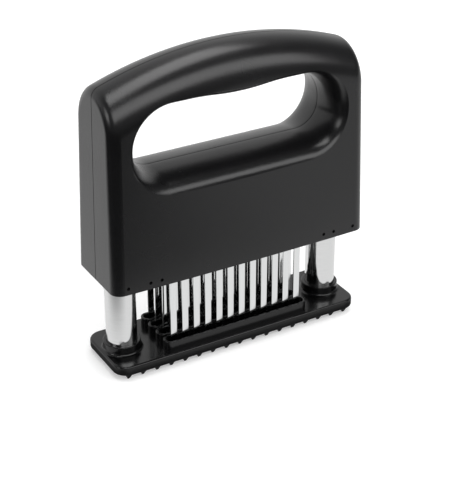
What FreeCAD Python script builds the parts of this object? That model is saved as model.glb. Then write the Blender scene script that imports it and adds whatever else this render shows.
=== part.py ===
import FreeCAD, Part
import math
import os
import Sketcher

# Blade meat tenderizer. Millimetres, +Z up, the length along X, the front towards -Y.
# The origin is the middle of the foot at the level of the tooth tips. The foot stands still, and the
# handle with the blades slides down on two posts.

SIZES = {
    # handle housing
    "housing_length": 115.0,
    "housing_depth": 35.4,
    "housing_bottom": 40.6,
    "arch_top": 129.8,
    "arch_radius": 155.0,
    "side_draft": 1.4,
    "face_draft": 1.7,
    "corner_round": 4.5,
    "wall": 2.2,
    "seam_gap": 0.36,
    "seam_depth": 0.4,
    # hand hole
    "hole_floor": 84.8,
    "hole_half_length": 43.4,
    "hole_low_round": 10.5,
    "hole_high_round": 15.0,
    "hole_crest": 111.7,
    "hole_crest_place": 22.0,
    "finger_drop": 1.15,
    "flare_low": 8.0,
    "flare_end": 6.0,
    "flare_high": 5.0,
    "flare_low_round": 9.5,
    "flare_high_round": 4.5,
    "flare_overrun": 0.12,
    # travel and fits
    "travel": 28.0,
    "travel_margin": 1.8,
    "fit": 0.1,
    "press_clearance": 0.02,
    "slide_clearance": 0.06,
    "window_clearance": 0.5,
    # bottom cover
    "cover_recess": 0.8,
    "cover_thickness": 3.0,
    "snap_height": 2.67,
    "snap_hole_radius": 0.7,
    "snap_nub_length": 1.3,
    "snap_outer": 51.6,
    "snap_middle": 42.1,
    "snap_inner": 37.25,
    # posts
    "post_inset": 10.1,
    "post_diameter": 12.64,
    "post_wall": 0.8,
    "bush_height": 8.0,
    "bush_reach": 8.5,
    "clip_thickness": 2.0,
    "clip_reach": 9.0,
    "clip_band": 2.2,
    "clip_bite": 0.5,
    "clip_tip": 5.0,
    "post_head": 1.8,
    "plug_height": 9.0,
    # springs
    "ledge_thickness": 2.0,
    "spring_wire": 0.9,
    "spring_radius": 4.1,
    "spring_turns": 11.0,
    "seat_boss_radius": 3.0,
    "seat_boss_length": 4.0,
    # screws
    "screw_diameter": 3.0,
    "screw_head_diameter": 6.0,
    "screw_head_height": 1.7,
    "screw_length": 11.0,
    "clamp_screw_diameter": 2.2,
    "clamp_screw_head_diameter": 4.2,
    "clamp_screw_head_height": 1.5,
    "clamp_screw_length": 12.0,
    "clamp_screw_place": 33.2,
    "clamp_screw_side": 6.7,
    # foot plate
    "foot_end_inset": 1.0,
    "foot_side_inset": 1.9,
    "foot_top": 6.6,
    "tooth_height": 2.5,
    "tooth_width": 3.0,
    "tooth_depth": 2.4,
    "tooth_tip": 0.3,
    "tooth_pitch": 6.41,
    "tooth_count": 17.0,
    "tooth_line": 13.2,
    "foot_corner": 6.0,
    "foot_edge": 0.9,
    "collar_wall": 1.25,
    "collar_top": 10.5,
    "collar_foot": 1.2,
    "collar_lip": 0.4,
    # blades
    "blade_columns": 12.0,
    "blade_pitch": 5.267,
    "row_pitch": 6.7,
    "blade_width": 2.78,
    "blade_thickness": 0.7,
    "blade_tip": 5.0,
    "blade_slant": 1.6,
    "blade_grind": 1.2,
    "blade_edge": 0.1,
    "blade_clearance": 0.04,
    "pin_diameter": 1.2,
    "pin_height": 11.0,
    "trough_end": 33.4,
    "trough_outer": 3.0,
    "trough_inner": 1.9,
    "trough_floor": 7.2,
    "trough_lip": 0.45,
    "web_drop": 0.9,
    "slot_half_width": 1.0,
    # blade carrier
    "carrier_half_length": 36.6,
    "carrier_side": 2.6,
    "carrier_height": 16.0,
    "clamp_thickness": 3.0,
    "rib_thickness": 2.0,
    "rib_length": 8.0,
    "rib_spacing": 24.0,
    "rib_bite": 3.0,
}

DOC = FreeCAD.newDocument("blade_meat_tenderizer")
SHEET = DOC.addObject("Spreadsheet::Sheet", "sizes")
for line, (alias, amount) in enumerate(SIZES.items(), start=1):
    SHEET.set(f"A{line}", alias)
    SHEET.set(f"B{line}", str(amount))
    SHEET.setAlias(f"B{line}", alias)
DOC.recompute()

SUB_PARTS = []
SIDES = (("left", -1), ("right", 1))
HALVES = (("front", -1), ("rear", 1))


# ---- expressions that several pieces share ----

HALF_DEPTH = "(sizes.housing_depth / 2)"
POST_RADIUS = "(sizes.post_diameter / 2)"
POST_BORE = "(sizes.post_diameter / 2 - sizes.post_wall)"
POST_PLACE = "(sizes.housing_length / 2 - sizes.post_inset)"
COVER_LOW = "(sizes.housing_bottom + sizes.cover_recess)"
COVER_TOP = f"({COVER_LOW} + sizes.cover_thickness)"
BUSH_TOP = f"({COVER_TOP} + sizes.bush_height)"
CLIP_TOP = f"({BUSH_TOP} + sizes.clip_thickness)"
POST_TOP = f"({CLIP_TOP} + sizes.post_head)"
PLUG_TOP = "(sizes.foot_top + sizes.plug_height)"
CARRIER_TOP = f"({COVER_TOP} + sizes.carrier_height)"
CLAMP_TOP = f"({CARRIER_TOP} + sizes.clamp_thickness)"
CARRIER_HALF_DEPTH = f"({HALF_DEPTH} - sizes.wall - sizes.carrier_side)"
ROW_REACH = "((sizes.blade_columns - 1) / 2 * sizes.blade_pitch)"
SPRING_SEAT = f"({POST_TOP} + sizes.travel + sizes.travel_margin)"
LEDGE_TOP = f"({SPRING_SEAT} + sizes.ledge_thickness)"
# the full round on top of the handle is tangent to the drafted faces
CROWN_RADIUS = (f"(({HALF_DEPTH} - tan(sizes.face_draft) * (sizes.arch_top - sizes.housing_bottom))"
                " * cos(sizes.face_draft) / (1 - sin(sizes.face_draft)))")
ARCH_CENTRE = "(sizes.arch_top - sizes.arch_radius)"


def value(expression):
    result = SHEET.evalExpression(expression)
    return float(getattr(result, "Value", result))


def side_at(height, inset="0"):
    """Half length of the drafted housing at a height, less an inset."""
    return f"(sizes.housing_length / 2 - tan(sizes.side_draft) * ({height} - sizes.housing_bottom) - ({inset}))"


def face_at(height, inset="0"):
    """Half depth of the drafted housing over its middle at a height, less an inset."""
    return f"({HALF_DEPTH} - tan(sizes.face_draft) * ({height} - sizes.housing_bottom) - ({inset}))"


def end_face_at(height, across, inset):
    """Half depth off the middle. The face is a flat cone round the arch's axis, so it falls off there."""
    level = f"(sqrt({across} ^ 2 + ({height} - {ARCH_CENTRE}) ^ 2) + {ARCH_CENTRE})"
    return face_at(level, inset)


def row_place(row):
    return f"(({row} - 1.5) * sizes.row_pitch)"


# ---- small makers ----

def new_body(name):
    return DOC.addObject("PartDesign::Body", name)


def finish(piece, label):
    """Name a finished piece as a sub-part of its own."""
    piece.Label = label
    SUB_PARTS.append(piece)


def new_sketch(body, name, plane, offset=None):
    """A sketch on one of the body's origin planes, moved along the plane's normal."""
    sketch = body.newObject("Sketcher::SketchObject", name)
    support = next(item for item in body.Origin.OriginFeatures if item.Role == plane)
    sketch.AttachmentSupport = [(support, "")]
    sketch.MapMode = "FlatFace"
    if offset:
        sketch.setExpression("AttachmentOffset.Base.z", offset)
    return sketch


def hold(sketch, kind, index, point, amount, expression):
    number = sketch.addConstraint(Sketcher.Constraint(kind, -1, 1, index, point, amount))
    sketch.setExpression(f"Constraints[{number}]", expression)


def hold_radius(sketch, index, amount, expression):
    number = sketch.addConstraint(Sketcher.Constraint("Radius", index, amount))
    sketch.setExpression(f"Constraints[{number}]", expression)


def add_circle(sketch, across, up, radius):
    centre = FreeCAD.Vector(value(across), value(up), 0)
    index = sketch.addGeometry(Part.Circle(centre, FreeCAD.Vector(0, 0, 1), value(radius)), False)
    hold(sketch, "DistanceX", index, 3, centre.x, across)
    hold(sketch, "DistanceY", index, 3, centre.y, up)
    hold_radius(sketch, index, value(radius), radius)


def arc_between(first, second, radius, turn):
    """The short arc from first to second that turns left (1) or right (-1)."""
    chord = second - first
    middle = (first + second) * 0.5
    rise = math.sqrt(max(radius ** 2 - (chord.Length / 2) ** 2, 0.0))
    normal = FreeCAD.Vector(-chord.y, chord.x, 0).normalize()
    centre = middle + normal * rise * turn
    start, end = (first, second) if turn > 0 else (second, first)
    angles = [math.atan2(spot.y - centre.y, spot.x - centre.x) for spot in (start, end)]
    if angles[1] < angles[0]:
        angles[1] += 2 * math.pi
    return Part.ArcOfCircle(Part.Circle(centre, FreeCAD.Vector(0, 0, 1), radius), *angles)


def add_loop(sketch, corners):
    """A closed outline. Each corner is (across, up) or (across, up, radius, turn) for an arc to the next."""
    spots = [FreeCAD.Vector(value(corner[0]), value(corner[1]), 0) for corner in corners]
    links = []
    for place, corner in enumerate(corners):
        first = spots[place]
        second = spots[(place + 1) % len(corners)]
        if len(corner) == 2:
            index = sketch.addGeometry(Part.LineSegment(first, second), False)
            links.append((index, 1, 2))
            continue
        radius, turn = corner[2:]
        index = sketch.addGeometry(arc_between(first, second, value(radius), turn), False)
        links.append((index, 1, 2) if turn > 0 else (index, 2, 1))
    for place, (index, start, end) in enumerate(links):
        following = links[(place + 1) % len(links)]
        sketch.addConstraint(Sketcher.Constraint("Coincident", index, end, following[0], following[1]))
    for (index, start, end), corner, spot in zip(links, corners, spots):
        hold(sketch, "DistanceX", index, start, spot.x, corner[0])
        hold(sketch, "DistanceY", index, start, spot.y, corner[1])
        if len(corner) > 2:
            hold_radius(sketch, index, value(corner[2]), corner[2])
    return links


def rectangle(low_x, low_y, high_x, high_y):
    return [(low_x, low_y), (high_x, low_y), (high_x, high_y), (low_x, high_y)]


def rounded_rectangle(half_x, half_y, radius):
    """A rectangle about the origin with rounded corners, anticlockwise."""
    in_x = f"({half_x} - {radius})"
    in_y = f"({half_y} - {radius})"
    return [
        (f"-{in_x}", f"-{half_y}"), (in_x, f"-{half_y}", radius, 1),
        (half_x, f"-{in_y}"), (half_x, in_y, radius, 1),
        (in_x, half_y), (f"-{in_x}", half_y, radius, 1),
        (f"-{half_x}", in_y), (f"-{half_x}", f"-{in_y}", radius, 1),
    ]


def stadium(half_x, middle, half_y):
    """A slot along X with round ends, anticlockwise."""
    centre = f"({half_x} - {half_y})"
    low = f"({middle} - {half_y})"
    high = f"({middle} + {half_y})"
    tip_right = (half_x, middle, half_y, 1)
    tip_left = (f"-{half_x}", middle, half_y, 1)
    return [
        (f"-{centre}", low), (centre, low, half_y, 1), tip_right,
        (centre, high), (f"-{centre}", high, half_y, 1), tip_left,
    ]


def pad(body, sketch, length, symmetric=False, reverse=False, taper=None):
    feature = body.newObject("PartDesign::Pad", f"{sketch.Name}_pad")
    feature.Profile = sketch
    feature.setExpression("Length", length)
    feature.Reversed = reverse
    if symmetric:
        feature.SideType = "Symmetric"
    if taper:
        feature.setExpression("TaperAngle", taper)
    return feature


def pocket(body, sketch, length=None, symmetric=False, reverse=False):
    """Cut a sketch away, by a length or through everything, and make sure that something was cut."""
    DOC.recompute()
    before = body.Shape.Volume
    feature = body.newObject("PartDesign::Pocket", f"{sketch.Name}_pocket")
    feature.Profile = sketch
    feature.Reversed = reverse
    if symmetric:
        feature.SideType = "Symmetric"
    if length:
        feature.setExpression("Length", length)
    else:
        feature.Type = "ThroughAll"
    DOC.recompute()
    if body.Shape.Volume > before - 1e-6:
        raise RuntimeError(f"{feature.Name} cuts nothing")
    return feature


def fillet(body, base, edges, radius):
    feature = body.newObject("PartDesign::Fillet", f"{base.Name}_fillet")
    feature.Base = (base, edges)
    feature.setExpression("Radius", radius)
    return feature


def edges_where(feature, test):
    """Names of the feature's edges whose sampled points all pass the test."""
    DOC.recompute()
    names = []
    for number, edge in enumerate(feature.Shape.Edges, start=1):
        if all(test(point) for point in edge.discretize(5)):
            names.append(f"Edge{number}")
    return names


def near(first, second, gap=0.01):
    return abs(first - second) < gap


def block(name, low, high):
    """A Part box between two corners given as expressions."""
    box = DOC.addObject("Part::Box", name)
    for side, first, second, axis in zip(("Length", "Width", "Height"), low, high, "xyz"):
        box.setExpression(side, f"{second} - {first}")
        box.setExpression(f"Placement.Base.{axis}", first)
    return box


def fuse(name, shapes):
    joined = DOC.addObject("Part::MultiFuse", name)
    joined.Shapes = shapes
    return joined


def cut(name, base, tool):
    result = DOC.addObject("Part::Cut", name)
    result.Base = base
    result.Tool = tool
    return result


# ---- handle housing ----

def housing_form(name, side, inset):
    """Half of the arched handle form, or of the hollow inside it when it is inset by the wall."""
    body = new_body(name)
    section = new_sketch(body, f"{name}_section", "YZ_Plane")
    radius = f"({CROWN_RADIUS} - {inset})"
    centre = f"(sizes.arch_top - {CROWN_RADIUS})"
    low = "(sizes.housing_bottom - 4)"
    tangent_out = f"({side} * {radius} * cos(sizes.face_draft))"
    tangent_up = f"({centre} + {radius} * sin(sizes.face_draft))"
    foot_out = f"({side} * ({face_at(low)} - {inset} / cos(sizes.face_draft)))"
    add_loop(section, [
        ("0", low), (foot_out, low),
        (tangent_out, tangent_up, radius, side), ("0", f"({centre} + {radius})"),
    ])
    axis = section.addGeometry(Part.LineSegment(FreeCAD.Vector(-5, value(ARCH_CENTRE), 0),
                                                FreeCAD.Vector(5, value(ARCH_CENTRE), 0)), True)
    hold(section, "DistanceY", axis, 1, value(ARCH_CENTRE), ARCH_CENTRE)
    section.addConstraint(Sketcher.Constraint("Horizontal", axis))
    turn = body.newObject("PartDesign::Revolution", f"{name}_arch")
    turn.Profile = section
    turn.ReferenceAxis = (section, ["Axis0"])
    turn.Midplane = True
    turn.Angle = 110
    # everything outside the drafted front outline goes
    outline = new_sketch(body, f"{name}_outline", "XZ_Plane")
    high = "(sizes.arch_top + 10)"
    bottom = "sizes.housing_bottom" if inset == "0" else "(sizes.housing_bottom - 1)"
    add_loop(outline, [
        (f"-{side_at(bottom, inset)}", bottom), (side_at(bottom, inset), bottom),
        (side_at(high, inset), high), (f"-{side_at(high, inset)}", high),
    ])
    reach = "(sizes.housing_length * 1.5)"
    add_loop(outline, rectangle(f"-{reach}", f"-{reach}", reach, "(sizes.arch_top + 20)"))
    trim = pocket(body, outline, symmetric=True)
    # the two flat ends meet the face and the crown in a rounded edge, which stops at seam and floor
    half, low_half = (value(side_at(level, inset)) for level in (bottom, high))
    slope = (half - low_half) / (value(high) - value(bottom))

    def on_rim(point):
        on_end = near(abs(point.x), half - slope * (point.z - value(bottom)), 0.02)
        return on_end and not near(point.y, 0)

    rims = [name for name in edges_where(trim, on_rim)
            if not all(near(point.z, value(bottom)) for point in trim.Shape.getElement(name).discretize(3))]
    fillet(body, trim, rims, f"(sizes.corner_round - {inset})")
    DOC.recompute()
    return body


def hole_tool(name, side, inset):
    """The hand hole's flared half, lofted from the seam to the face, or the sleeve round it."""
    body = new_body(name)
    profiles = []
    for number, angle in enumerate((0, 22, 44, 62, 77, 90)):
        depth_share = math.sin(math.radians(angle))
        flare_share = 1 - math.cos(math.radians(angle))
        sketch = new_sketch(body, f"{name}_outline_{number}", "XZ_Plane")
        face = face_at("0", inset)
        sketch.AttachmentOffset = FreeCAD.Placement(
            FreeCAD.Vector(), FreeCAD.Rotation(FreeCAD.Vector(1, 0, 0), 1))
        sketch.setExpression("AttachmentOffset.Base.z",
                             f"{-side} * {depth_share} * ({face} + sizes.flare_overrun)")
        sketch.setExpression("AttachmentOffset.Rotation.Angle", f"{side} * {depth_share} * sizes.face_draft")
        floor = f"(sizes.hole_floor - {inset} - {flare_share} * sizes.flare_low)"
        crest = f"(sizes.hole_crest + {inset} + {flare_share} * sizes.flare_high)"
        end = f"(sizes.hole_half_length + {inset} + {flare_share} * sizes.flare_end)"
        low = f"(sizes.hole_low_round + {inset} + {flare_share} * sizes.flare_low_round)"
        high = f"(sizes.hole_high_round + {inset} + {flare_share} * sizes.flare_high_round)"
        drop = "sizes.finger_drop"
        place = "sizes.hole_crest_place"
        wave = f"(({place} ^ 2 + {drop} ^ 2) / (4 * {drop}))"
        half_wave = (f"({place} / 2)", f"({crest} - {drop} / 2)")
        add_loop(sketch, [
            (f"-({end} - {low})", floor), (f"({end} - {low})", floor, low, 1),
            (end, f"({floor} + {low})"), (end, f"({crest} - {high})", high, 1),
            (f"({end} - {high})", crest), (place, crest, wave, 1),
            (*half_wave, wave, -1), (f"-{half_wave[0]}", half_wave[1], wave, 1),
            (f"-{place}", crest), (f"-({end} - {high})", crest, high, 1),
            (f"-{end}", f"({crest} - {high})"), (f"-{end}", f"({floor} + {low})", low, 1),
        ])
        profiles.append(sketch)
    loft = body.newObject("PartDesign::AdditiveLoft", f"{name}_loft")
    loft.Profile = profiles[0]
    loft.Sections = profiles[1:]
    DOC.recompute()
    return body


def seat_features(name, side):
    """Spring ledges with bosses, and the ribs that hold the bushes and the blade clamp."""
    pieces = []
    for label, hand in SIDES:
        inner = f"({POST_PLACE} - {POST_RADIUS})"
        outer = side_at(SPRING_SEAT, "sizes.wall / 2")
        spans = (inner, outer) if hand > 0 else (f"-{outer}", f"-{inner}")
        deep = ("0", face_at(SPRING_SEAT, "sizes.corner_round"))
        spans_y = deep if side > 0 else (f"-{deep[1]}", deep[0])
        pieces.append(block(f"{name}_{label}_ledge", (spans[0], spans_y[0], SPRING_SEAT),
                            (spans[1], spans_y[1], LEDGE_TOP)))
        boss = DOC.addObject("Part::Cylinder", f"{name}_{label}_boss")
        boss.setExpression("Radius", "sizes.seat_boss_radius")
        boss.setExpression("Height", "sizes.seat_boss_length + sizes.ledge_thickness / 2")
        boss.setExpression("Placement.Base.x", f"{hand} * {POST_PLACE}")
        boss.setExpression("Placement.Base.z", f"{SPRING_SEAT} - sizes.seat_boss_length")
        boss.Angle = 180
        boss.Placement.Rotation = FreeCAD.Rotation(FreeCAD.Vector(0, 0, 1), 0 if side > 0 else 180)
        pieces.append(boss)
        edge = face_at(BUSH_TOP, "sizes.wall / 2")
        grip = f"({edge} - sizes.rib_bite)"
        wide = (f"({hand} * {POST_PLACE} - sizes.rib_thickness / 2)",
                f"({hand} * {POST_PLACE} + sizes.rib_thickness / 2)")
        across = (grip, edge) if side > 0 else (f"-{edge}", f"-{grip}")
        pieces.append(block(f"{name}_{label}_bush_rib", (wide[0], across[0], BUSH_TOP),
                            (wide[1], across[1], f"{BUSH_TOP} + sizes.rib_length")))
    for number, share in enumerate((-1, 0, 1)):
        edge = face_at(CLAMP_TOP, "sizes.wall / 2")
        grip = f"({edge} - sizes.rib_bite - sizes.wall / 2)"
        across = (grip, edge) if side > 0 else (f"-{edge}", f"-{grip}")
        middle = f"({share} * sizes.rib_spacing)"
        pieces.append(block(f"{name}_clamp_rib_{number}",
                            (f"({middle} - sizes.rib_thickness / 2)", across[0], CLAMP_TOP),
                            (f"({middle} + sizes.rib_thickness / 2)", across[1],
                             f"{CLAMP_TOP} + sizes.rib_length")))
    return pieces


def seam_tool(name, side):
    """The groove where the two halves meet, round the outside and the inside of the hand hole."""
    reach = "sizes.housing_length"
    gap = "(sizes.seam_gap / 2)"
    spans = ("0", gap) if side > 0 else (f"-{gap}", "0")
    slab = block(f"{name}_slab", (f"-{reach}", spans[0], "0"), (reach, spans[1], "(sizes.arch_top + 10)"))
    core = cut(f"{name}_core", housing_form(f"{name}_form", side, "sizes.seam_depth"),
               hole_tool(f"{name}_sleeve", side, "sizes.seam_depth"))
    return cut(name, slab, core)


def snap_holes(name, side):
    """Six small holes low in the face, where the bottom cover's nubs catch."""
    body = new_body(name)
    sketch = new_sketch(body, f"{name}_circles", "XZ_Plane", f"{-side} * sizes.housing_depth / 4")
    for place in ("sizes.snap_inner", "sizes.snap_middle", "sizes.snap_outer"):
        for hand in (-1, 1):
            add_circle(sketch, f"{hand} * {place}", "sizes.housing_bottom + sizes.snap_height",
                       "sizes.snap_hole_radius")
    pad(body, sketch, "sizes.housing_depth / 2", reverse=side > 0)
    DOC.recompute()
    return body


def housing_half(half, side):
    outer = housing_form(f"{half}_outer", side, "0")
    hollow = housing_form(f"{half}_hollow", side, "sizes.wall")
    sleeve = hole_tool(f"{half}_sleeve", side, "sizes.wall")
    chamber = cut(f"{half}_chamber", hollow, sleeve)
    shell = cut(f"{half}_shell", outer, chamber)
    ribbed = fuse(f"{half}_ribbed", [shell] + seat_features(half, side))
    holed = cut(f"{half}_holed", ribbed, hole_tool(f"{half}_hand_hole", side, "0"))
    snapped = cut(f"{half}_snapped", holed, snap_holes(f"{half}_snaps", side))
    finish(cut(f"{half}_grooved", snapped, seam_tool(f"{half}_seam", side)), f"{half}_housing")


# ---- bottom cover, bushes and blade carrier ----

def bottom_cover():
    body = new_body("cover")
    plate = new_sketch(body, "cover_plate", "XY_Plane", COVER_LOW)
    half_x = side_at(COVER_TOP, "sizes.wall + sizes.fit")
    half_y = end_face_at(COVER_TOP, half_x, "sizes.wall + sizes.fit")
    add_loop(plate, rounded_rectangle(half_x, half_y, "(sizes.corner_round - sizes.wall)"))
    pad(body, plate, "sizes.cover_thickness")
    openings = new_sketch(body, "cover_openings", "XY_Plane", COVER_LOW)
    for hand in (-1, 1):
        add_circle(openings, f"{hand} * {POST_PLACE}", "0",
                   f"{POST_RADIUS} + sizes.window_clearance")
    for row in range(4):
        add_loop(openings, stadium(f"({ROW_REACH} + sizes.blade_width / 2 + sizes.slot_half_width)",
                                   row_place(row), "sizes.slot_half_width"))
    pocket(body, openings, symmetric=True)
    nubs = new_sketch(body, "cover_nubs", "XZ_Plane", f"{half_y} - sizes.fit")
    for place in ("sizes.snap_inner", "sizes.snap_middle", "sizes.snap_outer"):
        for hand in (-1, 1):
            add_circle(nubs, f"{hand} * {place}", "sizes.housing_bottom + sizes.snap_height",
                       "sizes.snap_hole_radius - sizes.fit")
    nub = pad(body, nubs, "sizes.snap_nub_length + sizes.fit")
    mirror = body.newObject("PartDesign::Mirrored", "cover_rear_nubs")
    mirror.Originals = [nub]
    plane = next(item for item in body.Origin.OriginFeatures if item.Role == "XZ_Plane")
    mirror.MirrorPlane = (plane, [""])
    body.Tip = mirror
    finish(body, "bottom_cover")


def bush(label, hand):
    body = new_body(f"{label}_bush_body")
    inner = f"({POST_PLACE} - sizes.bush_reach)"
    outer = side_at(BUSH_TOP, "sizes.wall + sizes.fit")
    half_y = end_face_at(BUSH_TOP, outer, "sizes.wall + sizes.fit")
    radius = "(sizes.corner_round - sizes.wall)"
    sketch = new_sketch(body, f"{label}_bush_outline", "XY_Plane", COVER_TOP)
    in_x = f"({outer} - {radius})"
    in_y = f"({half_y} - {radius})"
    corners = [
        (f"{hand} * {inner}", f"-{half_y}"), (f"{hand} * {in_x}", f"-{half_y}", radius, hand),
        (f"{hand} * {outer}", f"-{in_y}"), (f"{hand} * {outer}", in_y, radius, hand),
        (f"{hand} * {in_x}", half_y), (f"{hand} * {inner}", half_y),
    ]
    add_loop(sketch, corners)
    add_circle(sketch, f"{hand} * {POST_PLACE}", "0", f"{POST_RADIUS} + sizes.slide_clearance")
    pad(body, sketch, "sizes.bush_height")
    finish(body, f"{label}_bush")


def screw_places():
    return [(f"{hand} * sizes.clamp_screw_place", f"{side} * sizes.clamp_screw_side")
            for hand in (-1, 1) for side in (-1, 1)]


def blade_carrier():
    body = new_body("carrier")
    blank = new_sketch(body, "carrier_blank", "XY_Plane", COVER_TOP)
    add_loop(blank, rounded_rectangle("sizes.carrier_half_length", CARRIER_HALF_DEPTH, "sizes.rib_thickness"))
    pad(body, blank, "sizes.carrier_height")
    pilots = new_sketch(body, "carrier_pilots", "XY_Plane", CARRIER_TOP)
    for across, along in screw_places():
        add_circle(pilots, across, along, "sizes.clamp_screw_diameter / 2 + sizes.press_clearance")
    pocket(body, pilots, "sizes.clamp_screw_length - sizes.clamp_thickness + sizes.fit")
    slots = new_sketch(body, "carrier_slots", "XY_Plane", CARRIER_TOP)
    half_x = "(sizes.blade_width / 2 + sizes.blade_clearance)"
    half_y = "(sizes.blade_thickness / 2 + sizes.blade_clearance)"
    for row in range(4):
        add_loop(slots, rectangle(f"(-{ROW_REACH} - {half_x})", f"({row_place(row)} - {half_y})",
                                  f"({half_x} - {ROW_REACH})", f"({row_place(row)} + {half_y})"))
    slot = pocket(body, slots, symmetric=True)
    bores = new_sketch(body, "carrier_pin_bores", "XZ_Plane")
    add_circle(bores, f"-{ROW_REACH}", f"{COVER_TOP} + sizes.pin_height",
               "sizes.pin_diameter / 2 + sizes.press_clearance")
    bore = pocket(body, bores, symmetric=True)
    pattern = body.newObject("PartDesign::LinearPattern", "carrier_columns")
    pattern.Originals = [slot, bore]
    pattern.Direction = (slots, ["H_Axis"])
    pattern.Mode = "Extent"
    pattern.setExpression("Length", f"2 * {ROW_REACH}")
    pattern.setExpression("Occurrences", "sizes.blade_columns")
    body.Tip = pattern
    finish(body, "blade_carrier")


def blade_clamp():
    body = new_body("clamp")
    plate = new_sketch(body, "clamp_plate", "XY_Plane", CARRIER_TOP)
    add_loop(plate, rounded_rectangle("sizes.carrier_half_length", CARRIER_HALF_DEPTH, "sizes.rib_thickness"))
    for across, along in screw_places():
        add_circle(plate, across, along, "sizes.clamp_screw_diameter / 2 + sizes.fit")
    pad(body, plate, "sizes.clamp_thickness")
    finish(body, "blade_clamp")


def screw_profile(body, name, head, head_height, shank, length, flat_head):
    """Half section of a screw with its seat at height 0: a pan head above or a countersunk head below."""
    sketch = new_sketch(body, name, "XZ_Plane")
    zero = "0"
    if flat_head:
        corners = [(zero, zero), (head, zero), (shank, head_height), (shank, length), (zero, length)]
    else:
        corners = [(zero, f"-{length}"), (shank, f"-{length}"), (shank, zero), (head, zero),
                   (head, f"({head_height} * 0.6)"), (f"({head} * 0.7)", head_height), (zero, head_height)]
    add_loop(sketch, corners)
    turn = body.newObject("PartDesign::Revolution", f"{name}_turn")
    turn.Profile = sketch
    turn.ReferenceAxis = (sketch, ["V_Axis"])
    turn.Angle = 360
    DOC.recompute()


def copies(label, source, places):
    """Several separate solids of one kind in one sub-part."""
    group = DOC.addObject("Part::Feature", label)
    shapes = []
    for place in places:
        shape = source.Shape.copy()
        shape.translate(FreeCAD.Vector(*[value(axis) for axis in place]))
        shapes.append(shape)
    group.Shape = Part.makeCompound(shapes)
    finish(group, label)


def clamp_screws():
    body = new_body("clamp_screw")
    screw_profile(body, "clamp_screw_section", "(sizes.clamp_screw_head_diameter / 2)",
                  "sizes.clamp_screw_head_height", "(sizes.clamp_screw_diameter / 2)",
                  "sizes.clamp_screw_length", False)
    copies("clamp_screws", body, [(across, along, CLAMP_TOP) for across, along in screw_places()])


def blade_pins():
    body = new_body("pin")
    sketch = new_sketch(body, "pin_section", "XZ_Plane")
    add_circle(sketch, "0", f"{COVER_TOP} + sizes.pin_height", "sizes.pin_diameter / 2")
    pad(body, sketch, f"2 * {CARRIER_HALF_DEPTH}", symmetric=True)
    DOC.recompute()
    columns = range(int(value("sizes.blade_columns")))
    copies("blade_pins", body, [(f"{column} * sizes.blade_pitch - {ROW_REACH}", "0",
                                 "0") for column in columns])


# ---- blades ----

def blade_row(row):
    """Twelve ground blades with slanted chisel tips, held by a pin hole near the head."""
    name = f"row_{row + 1}"
    body = new_body(name)
    middle = row_place(row)
    sketch = new_sketch(body, f"{name}_blades", "XZ_Plane", f"-{middle}")
    half = "(sizes.blade_width / 2)"
    for column in range(int(value("sizes.blade_columns"))):
        place = f"({column} * sizes.blade_pitch - {ROW_REACH})"
        add_loop(sketch, [
            (f"({place} - {half})", "(sizes.blade_tip + sizes.blade_slant)"),
            (f"({place} + {half})", "sizes.blade_tip"),
            (f"({place} + {half})", CARRIER_TOP), (f"({place} - {half})", CARRIER_TOP),
        ])
        add_circle(sketch, place, f"{COVER_TOP} + sizes.pin_height",
                   "sizes.pin_diameter / 2 + sizes.press_clearance")
    pad(body, sketch, "sizes.blade_thickness", symmetric=True)
    grind = new_sketch(body, f"{name}_grind", "YZ_Plane")
    face = "(sizes.blade_thickness / 2)"
    top = "(sizes.blade_tip + sizes.blade_slant + sizes.blade_grind)"
    low = "(sizes.blade_tip - sizes.blade_edge)"
    for sign in (-1, 1):
        add_loop(grind, [
            (f"({middle} + {sign} * {face})", top), (f"({middle} + {sign} * sizes.blade_edge / 2)", low),
            (f"({middle} + {sign} * 2 * {face})", low), (f"({middle} + {sign} * 2 * {face})", top),
        ])
    pocket(body, grind, symmetric=True)
    finish(body, f"blade_row_{row + 1}")


# ---- foot ----

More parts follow.
